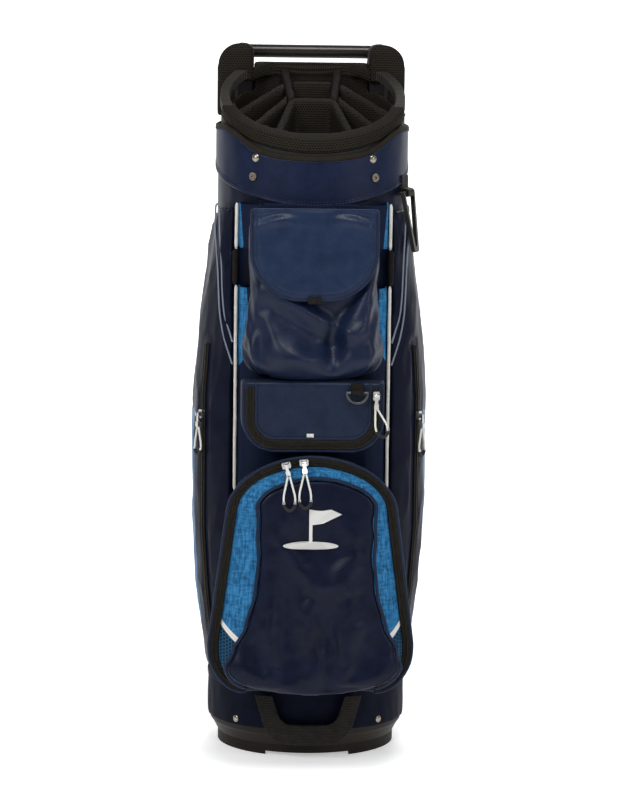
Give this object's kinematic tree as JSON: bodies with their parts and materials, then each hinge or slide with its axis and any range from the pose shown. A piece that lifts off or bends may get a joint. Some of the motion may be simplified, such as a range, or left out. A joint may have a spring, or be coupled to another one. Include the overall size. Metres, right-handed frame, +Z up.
{
  "type": "golf cart bag",
  "caption": "Oval stand-alone golf bag with a moulded base, sloping padded club dividers, rear lifting handle, side grips, zipped front and side pockets and a carry strap.",
  "frame": {"origin": "on the barrel's vertical axis, at the floor, in the middle of the base's underside", "axes": "+Z up, -Y to the front where the pockets are, +X to the right of someone facing the pockets"},
  "size_m": [0.2969, 0.3543, 0.9],
  "materials": {
    "tub_plastic": "moulded, fine grained, dark brown-black",
    "foot_rubber": "matt moulded rubber",
    "navy_fabric": "coated satin woven polyester, navy",
    "pouch_fabric": "light coated satin polyester, wrinkled",
    "blue_melange": "melange woven polyester, bright blue",
    "black_webbing": "ribbed webbing and zip tape, black-brown",
    "air_mesh": "black spacer mesh over foam",
    "curtain_cloth": "plain black divider cloth",
    "barrel_board": "extruded polyethylene sheet",
    "frame_plastic": "moulded polypropylene",
    "handle_tube": "smooth dark satin tube",
    "grip_plastic": "ribbed soft-touch moulding",
    "white_cord": "white braided cord and piping",
    "grey_cord": "thin braided elastic cord, grey-blue",
    "label_black": "woven sleeve, blank",
    "bright_metal": "nickel plated",
    "dark_plastic": "smooth black acetal",
    "rod_steel": "drawn tube",
    "badge_metal": "satin pressed badge"
  },
  "bodies": {
    "root": {"badge": "badge_metal", "ball_pocket": "blue_melange", "ball_pocket_face": "navy_fabric", "ball_zip": "black_webbing", "barrel_shell": "barrel_board", "base_skirt": "navy_fabric", "base_tub": "tub_plastic", "collar_frame": "frame_plastic", "column_piping": "white_cord", "cuff_binding": "black_webbing", "cuff_panel": "navy_fabric", "d_ring_tab": "black_webbing", "divider_cross_bar": "air_mesh", "divider_curtains": "curtain_cloth", "divider_posts": "air_mesh", "divider_side_bars": "air_mesh", "elastic_cord_left": "grey_cord", "elastic_cord_right": "grey_cord", "foot_ring": "foot_rubber", "front_panel": "blue_melange", "outer_sleeve": "navy_fabric", "putter_well": "air_mesh", "rear_corner_pads": "air_mesh", "rear_handle": "handle_tube", "rim_pad": "air_mesh", "rivets": "bright_metal", "side_grips": "grip_plastic", "side_pocket_left": "navy_fabric", "side_pocket_right": "navy_fabric", "side_zips": "black_webbing", "snap_sockets": "bright_metal", "stay_rods": "rod_steel", "strap_hardware": "bright_metal", "strap_labels": "label_black", "strap_tabs": "black_webbing", "tee_pocket": "pouch_fabric", "tee_zip": "black_webbing", "towel_tab": "black_webbing", "valuables_pouch": "pouch_fabric"},
    "flap": {"valuables_flap": "pouch_fabric", "flap_tab": "black_webbing"},
    "ball_slider_l": {"ball_slider_left": "bright_metal"},
    "ball_pull_l": {"ball_pull_cord_left": "white_cord", "ball_pull_ends_left": "bright_metal"},
    "ball_slider_r": {"ball_slider_right": "bright_metal"},
    "ball_pull_r": {"ball_pull_cord_right": "white_cord", "ball_pull_ends_right": "bright_metal"},
    "tee_slider_body": {"tee_slider": "bright_metal"},
    "tee_pull": {"tee_pull_cord": "white_cord", "tee_pull_ends": "dark_plastic"},
    "accessory_ring": {"d_ring": "dark_plastic"},
    "side_slider_l": {"side_slider_left": "bright_metal"},
    "side_pull_l": {"side_pull_cord_left": "white_cord", "side_pull_ends_left": "bright_metal"},
    "side_slider_r": {"side_slider_right": "bright_metal"},
    "side_pull_r": {"side_pull_cord_right": "white_cord", "side_pull_ends_right": "bright_metal"},
    "towel_loop": {"towel_ring": "dark_plastic"},
    "grab_loop": {"grab_strap": "black_webbing"},
    "strap": {"carry_strap": "black_webbing"}
  },
  "joints": [
    {"name": "flap_lift", "type": "hinge", "parent": "root", "child": "flap", "pos_m": [0, -0.12778, 0.6932], "axis": [-1, 0, 0], "range_deg": [0, 110]},
    {"name": "ball_zip_travel_l", "type": "hinge", "parent": "root", "child": "ball_slider_l", "pos_m": [0, -0.1583, 0.256], "axis": [0, 1, 0], "range_deg": [-11, 0]},
    {"name": "ball_pull_swing_l", "type": "hinge", "parent": "ball_slider_l", "child": "ball_pull_l", "pos_m": [-0.03254, -0.1673, 0.3865], "axis": [-0.9703, 0, -0.2419], "range_deg": [0, 100]},
    {"name": "ball_zip_travel_r", "type": "hinge", "parent": "root", "child": "ball_slider_r", "pos_m": [0, -0.1583, 0.256], "axis": [0, 1, 0], "range_deg": [0, 29]},
    {"name": "ball_pull_swing_r", "type": "hinge", "parent": "ball_slider_r", "child": "ball_pull_r", "pos_m": [-0.01079, -0.1673, 0.39007], "axis": [-0.9968, 0, -0.0802], "range_deg": [0, 100]},
    {"name": "tee_zip_travel", "type": "slide", "parent": "root", "child": "tee_slider_body", "axis": [0, 0, 1], "range_m": [-0.026, 0]},
    {"name": "tee_pull_swing", "type": "hinge", "parent": "tee_slider_body", "child": "tee_pull", "pos_m": [0.0775, -0.1573, 0.472], "axis": [-1, 0, 0], "range_deg": [0, 110]},
    {"name": "accessory_ring_swing", "type": "hinge", "parent": "root", "child": "accessory_ring", "pos_m": [0.054, -0.1543, 0.476], "axis": [-1, 0, 0], "range_deg": [0, 95]},
    {"name": "side_zip_travel_l", "type": "slide", "parent": "root", "child": "side_slider_l", "axis": [0, 0, 1], "range_m": [-0.11, 0.014]},
    {"name": "side_pull_swing_l", "type": "hinge", "parent": "side_slider_l", "child": "side_pull_l", "pos_m": [-0.14208, -0.05685, 0.434], "axis": [-0.5389, 0.8424, 0], "range_deg": [0, 100]},
    {"name": "side_zip_travel_r", "type": "slide", "parent": "root", "child": "side_slider_r", "axis": [0, 0, 1], "range_m": [-0.11, 0.014]},
    {"name": "side_pull_swing_r", "type": "hinge", "parent": "side_slider_r", "child": "side_pull_r", "pos_m": [0.14208, -0.05685, 0.434], "axis": [-0.5389, -0.8424, 0], "range_deg": [0, 100]},
    {"name": "towel_ring_swing", "type": "hinge", "parent": "root", "child": "towel_loop", "pos_m": [0.11982, -0.03813, 0.7156], "axis": [-0.3876, -0.9218, 0], "range_deg": [0, 90]},
    {"name": "grab_strap_lift", "type": "hinge", "parent": "root", "child": "grab_loop", "pos_m": [0, -0.11248, 0.084], "axis": [-1, 0, 0], "range_deg": [0, 75]},
    {"name": "carry_strap_swing", "type": "hinge", "parent": "root", "child": "strap", "pos_m": [0, 0.118, 0.30795], "axis": [0, 0, 1], "range_deg": [-30, 30]}
  ]
}
